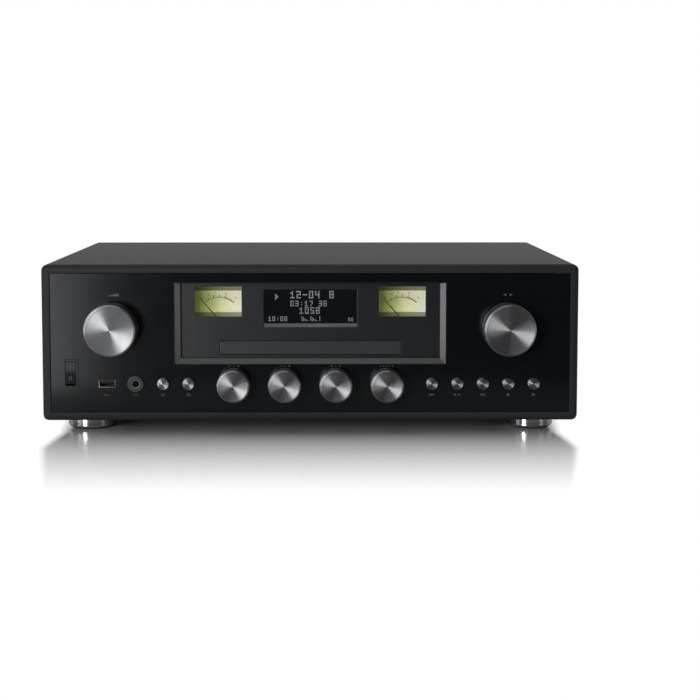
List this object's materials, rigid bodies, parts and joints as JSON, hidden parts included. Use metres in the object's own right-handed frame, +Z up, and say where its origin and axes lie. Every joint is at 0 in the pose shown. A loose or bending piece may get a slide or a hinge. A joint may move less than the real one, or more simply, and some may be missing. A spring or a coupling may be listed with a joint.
{
  "type": "cd radio",
  "caption": "Wide black table-top CD radio with a recessed window holding pointer meters, a display and a sliding disc tray, turned metal knobs and push buttons.",
  "frame": {"origin": "on the table, under the middle of the whole outline", "axes": "+X to the right seen from the front, +Y to the back, +Z up; the front faces -Y"},
  "size_m": [0.43, 0.3226, 0.1355],
  "materials": {
    "cabinet_wrap": "satin black vinyl wrap over board",
    "raw_wood": "planed",
    "rear_paint": "fine texture",
    "panel_black": "satin",
    "bezel_black": "satin gloss",
    "window_smoke": "satin gloss",
    "pane_clear": "polished",
    "foot_metal": "turned",
    "pad_rubber": "matt",
    "screw_steel": "zinc",
    "can_plastic": "matt",
    "dial_card": "printed and lit from behind",
    "needle_black": "matt",
    "display_housing": "matt",
    "display_face": "dark with pale lit lines",
    "circuit_board": "solder mask",
    "pot_metal": "pressed",
    "switch_black": "matt",
    "knob_metal": "turned face",
    "shaft_steel": "ground",
    "button_metal": "turned cap",
    "switch_gloss": "gloss",
    "socket_black": "moulded",
    "usb_steel": "nickel plated",
    "chassis_plastic": "moulded",
    "tray_plastic": "moulded",
    "tray_front_black": "satin gloss",
    "drive_steel": "pressed",
    "motor_steel": "plated",
    "rod_chrome": "polished",
    "sled_black": "moulded",
    "nylon": "moulded",
    "pulley_brass": "turned",
    "belt_rubber": "matt",
    "winding": "wound and taped",
    "sink_black": "black anodised",
    "line_metal": "plated",
    "terminal_black": "moulded"
  },
  "bodies": {
    "cabinet": {"cabinet_cover": "cabinet_wrap", "base_board": "cabinet_wrap", "corner_blocks": "raw_wood", "rear_panel": "rear_paint", "front_panel": "panel_black", "window_bezel": "bezel_black", "window_panel": "window_smoke", "window_panes": "pane_clear", "feet": "foot_metal", "foot_pads": "pad_rubber", "case_screws": "screw_steel", "meter_cans": "can_plastic", "meter_dials": "dial_card", "display_module": "display_housing", "display_screen": "display_face", "control_board": "circuit_board", "control_pots": "pot_metal", "tact_switches": "switch_black", "power_switch_frame": "switch_gloss", "headphone_socket": "socket_black", "usb_socket": "usb_steel", "loader_chassis": "chassis_plastic", "clamp_bridge": "drive_steel", "loading_motor": "motor_steel", "loading_belt": "belt_rubber", "main_board": "circuit_board", "transformer": "winding", "heat_sink": "sink_black", "mains_inlet": "socket_black", "line_sockets": "line_metal", "speaker_terminals": "terminal_black"},
    "tray": {"disc_tray": "tray_plastic", "tray_front": "tray_front_black"},
    "tray_gear": {"tray_gear": "nylon"},
    "pulley_gear": {"pulley_gear": "nylon"},
    "motor_pulley": {"motor_pulley": "pulley_brass"},
    "traverse": {"traverse_frame": "drive_steel", "traverse_motors": "motor_steel", "guide_rods": "rod_chrome"},
    "turntable": {"turntable": "tray_plastic"},
    "clamper": {"disc_clamper": "nylon"},
    "sled": {"pickup_sled": "sled_black"},
    "feed_gear": {"feed_gear": "nylon"},
    "volume": {"volume_knob": "knob_metal"},
    "tuning_shaft": {"tuning_shaft": "shaft_steel"},
    "tuning": {"tuning_knob": "knob_metal"},
    "bass": {"bass_knob": "knob_metal"},
    "treble": {"treble_knob": "knob_metal"},
    "balance": {"balance_knob": "knob_metal"},
    "source": {"source_knob": "knob_metal"},
    "mode": {"mode_button": "button_metal"},
    "menu": {"menu_button": "button_metal"},
    "previous": {"previous_button": "button_metal"},
    "play": {"play_button": "button_metal"},
    "next": {"next_button": "button_metal"},
    "stop": {"stop_button": "button_metal"},
    "eject": {"eject_button": "button_metal"},
    "rocker": {"power_rocker": "switch_gloss"},
    "needle_left": {"meter_needle_left": "needle_black"},
    "needle_right": {"meter_needle_right": "needle_black"}
  },
  "joints": [
    {"name": "tray_slide", "type": "slide", "parent": "cabinet", "child": "tray", "axis": [0, -1, 0], "range_m": [0, 0.14]},
    {"name": "tray_gear_turn", "type": "hinge", "parent": "cabinet", "child": "tray_gear", "pos_m": [-0.0525, -0.10115, 0.06], "axis": [0, 0, 1], "continuous": true},
    {"name": "pulley_gear_turn", "type": "hinge", "parent": "cabinet", "child": "pulley_gear", "pos_m": [-0.0305, -0.10115, 0.052], "axis": [0, 0, 1], "continuous": true},
    {"name": "motor_pulley_turn", "type": "hinge", "parent": "cabinet", "child": "motor_pulley", "pos_m": [0.008, -0.10115, 0.049], "axis": [0, 0, 1], "continuous": true},
    {"name": "traverse_lift", "type": "hinge", "parent": "cabinet", "child": "traverse", "pos_m": [0, 0.0289, 0.058], "axis": [1, 0, 0], "range_deg": [0, 5]},
    {"name": "turntable_spin", "type": "hinge", "parent": "traverse", "child": "turntable", "pos_m": [0, -0.0661, 0.065], "axis": [0, 0, 1], "continuous": true},
    {"name": "clamper_spin", "type": "hinge", "parent": "cabinet", "child": "clamper", "pos_m": [0, -0.0661, 0.076], "axis": [0, 0, 1], "continuous": true},
    {"name": "sled_slide", "type": "slide", "parent": "traverse", "child": "sled", "axis": [0, 1, 0], "range_m": [0, 0.036]},
    {"name": "feed_gear_turn", "type": "hinge", "parent": "traverse", "child": "feed_gear", "pos_m": [0.0212, -0.0231, 0.053], "axis": [0, 0, 1], "continuous": true},
    {"name": "volume_turn", "type": "hinge", "parent": "cabinet", "child": "volume", "pos_m": [-0.158, -0.15115, 0.0845], "axis": [0, 1, 0], "range_deg": [-150, 150]},
    {"name": "tuning_push", "type": "slide", "parent": "cabinet", "child": "tuning_shaft", "axis": [0, 1, 0], "range_m": [0, 0.0008], "stiffness_N_per_m": 1500},
    {"name": "tuning_turn", "type": "hinge", "parent": "tuning_shaft", "child": "tuning", "pos_m": [0.158, -0.15115, 0.0845], "axis": [0, 1, 0], "continuous": true},
    {"name": "bass_turn", "type": "hinge", "parent": "cabinet", "child": "bass", "pos_m": [-0.06115, -0.14915, 0.0395], "axis": [0, 1, 0], "range_deg": [-140, 140]},
    {"name": "treble_turn", "type": "hinge", "parent": "cabinet", "child": "treble", "pos_m": [-0.02038, -0.14915, 0.0395], "axis": [0, 1, 0], "range_deg": [-140, 140]},
    {"name": "balance_turn", "type": "hinge", "parent": "cabinet", "child": "balance", "pos_m": [0.02038, -0.14915, 0.0395], "axis": [0, 1, 0], "range_deg": [-140, 140]},
    {"name": "source_turn", "type": "hinge", "parent": "cabinet", "child": "source", "pos_m": [0.06115, -0.14915, 0.0395], "axis": [0, 1, 0], "range_deg": [-75, 75]},
    {"name": "mode_push", "type": "slide", "parent": "cabinet", "child": "mode", "axis": [0, 1, 0], "range_m": [0, 0.0008], "stiffness_N_per_m": 300},
    {"name": "menu_push", "type": "slide", "parent": "cabinet", "child": "menu", "axis": [0, 1, 0], "range_m": [0, 0.0008], "stiffness_N_per_m": 300},
    {"name": "previous_push", "type": "slide", "parent": "cabinet", "child": "previous", "axis": [0, 1, 0], "range_m": [0, 0.0008], "stiffness_N_per_m": 300},
    {"name": "play_push", "type": "slide", "parent": "cabinet", "child": "play", "axis": [0, 1, 0], "range_m": [0, 0.0008], "stiffness_N_per_m": 300},
    {"name": "next_push", "type": "slide", "parent": "cabinet", "child": "next", "axis": [0, 1, 0], "range_m": [0, 0.0008], "stiffness_N_per_m": 300},
    {"name": "stop_push", "type": "slide", "parent": "cabinet", "child": "stop", "axis": [0, 1, 0], "range_m": [0, 0.0008], "stiffness_N_per_m": 300},
    {"name": "eject_push", "type": "slide", "parent": "cabinet", "child": "eject", "axis": [0, 1, 0], "range_m": [0, 0.0008], "stiffness_N_per_m": 300},
    {"name": "rocker_tip", "type": "hinge", "parent": "cabinet", "child": "rocker", "pos_m": [-0.192, -0.13665, 0.048], "axis": [1, 0, 0], "range_deg": [0, 14]},
    {"name": "needle_left_swing", "type": "hinge", "parent": "cabinet", "child": "needle_left", "pos_m": [-0.0739, -0.12765, 0.09015], "axis": [0, 1, 0], "range_deg": [0, 84], "stiffness_Nm_per_rad": 0.00001},
    {"name": "needle_right_swing", "type": "hinge", "parent": "cabinet", "child": "needle_right", "pos_m": [0.0739, -0.12765, 0.09015], "axis": [0, 1, 0], "range_deg": [0, 84], "stiffness_Nm_per_rad": 0.00001}
  ],
  "couplings": [
    {"joint": "tray_gear_turn", "follows": "tray_slide", "rad_per_m": 125},
    {"joint": "pulley_gear_turn", "follows": "tray_slide", "rad_per_m": -267.86},
    {"joint": "motor_pulley_turn", "follows": "tray_slide", "rad_per_m": -937.5},
    {"joint": "feed_gear_turn", "follows": "sled_slide", "rad_per_m": -238.1},
    {"joint": "clamper_spin", "follows": "turntable_spin", "ratio": 1}
  ]
}
